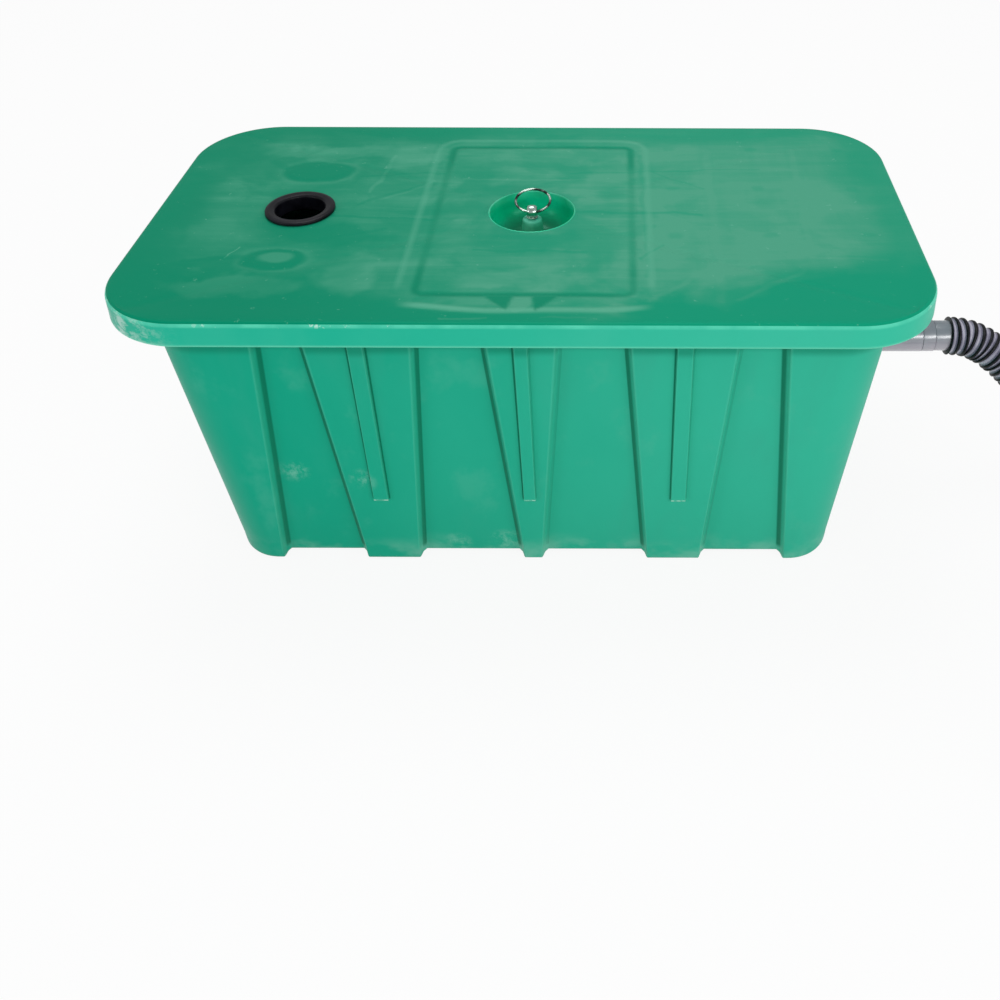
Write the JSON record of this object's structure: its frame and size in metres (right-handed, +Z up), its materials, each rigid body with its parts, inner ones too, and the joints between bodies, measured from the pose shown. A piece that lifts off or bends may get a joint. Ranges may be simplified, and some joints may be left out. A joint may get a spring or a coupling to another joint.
{
  "type": "under-sink grease trap",
  "caption": "Moulded plastic under-sink grease trap with a lift-off lid, inlet seal, pull ring, inner baffles, strainer basket and a side outlet with a flexible drain hose.",
  "frame": {"origin": "centre of the tub's underside, on the floor", "axes": "+X towards the outlet end, -Y towards the front, +Z up"},
  "size_m": [0.8203, 0.5317, 0.2711],
  "materials": {
    "tub_green": "satin moulded polyethylene",
    "lid_green": "satin moulded polyethylene with hazy scuffs",
    "inner_green": "plain sheet plastic",
    "black_rubber": "smooth moulded rubber",
    "seal_foam": "foam strip",
    "steel": "bright steel wire",
    "pipe_grey": "grey pipe plastic",
    "fitting_dark": "dark moulded fitting",
    "hose_grey": "corrugated thin-walled hose"
  },
  "bodies": {
    "tank": {"tub": "tub_green", "inlet_baffle": "inner_green", "outlet_baffle": "inner_green", "strainer_basket": "inner_green", "bulkhead_fitting": "fitting_dark", "bulkhead_gasket": "black_rubber", "bulkhead_nut": "fitting_dark", "outlet_elbow": "fitting_dark", "dip_pipe": "pipe_grey", "outlet_pipe": "pipe_grey", "pipe_coupling": "pipe_grey", "hose_spigot": "pipe_grey", "drain_hose": "hose_grey", "hose_end_cuff": "fitting_dark"},
    "lid": {"lid": "lid_green", "lid_seal": "seal_foam", "inlet_seal": "black_rubber", "eye_bolt": "steel", "eye_nut": "steel", "eye_washer": "steel"},
    "ring": {"pull_ring": "steel"}
  },
  "joints": [
    {"name": "lid_lift", "type": "slide", "parent": "tank", "child": "lid", "axis": [0, 0, 1], "range_m": [0, 0.15]},
    {"name": "ring_swing", "type": "hinge", "parent": "lid", "child": "ring", "pos_m": [0, 0, 0.2635], "axis": [1, 0, 0], "range_deg": [-70, 223]}
  ]
}
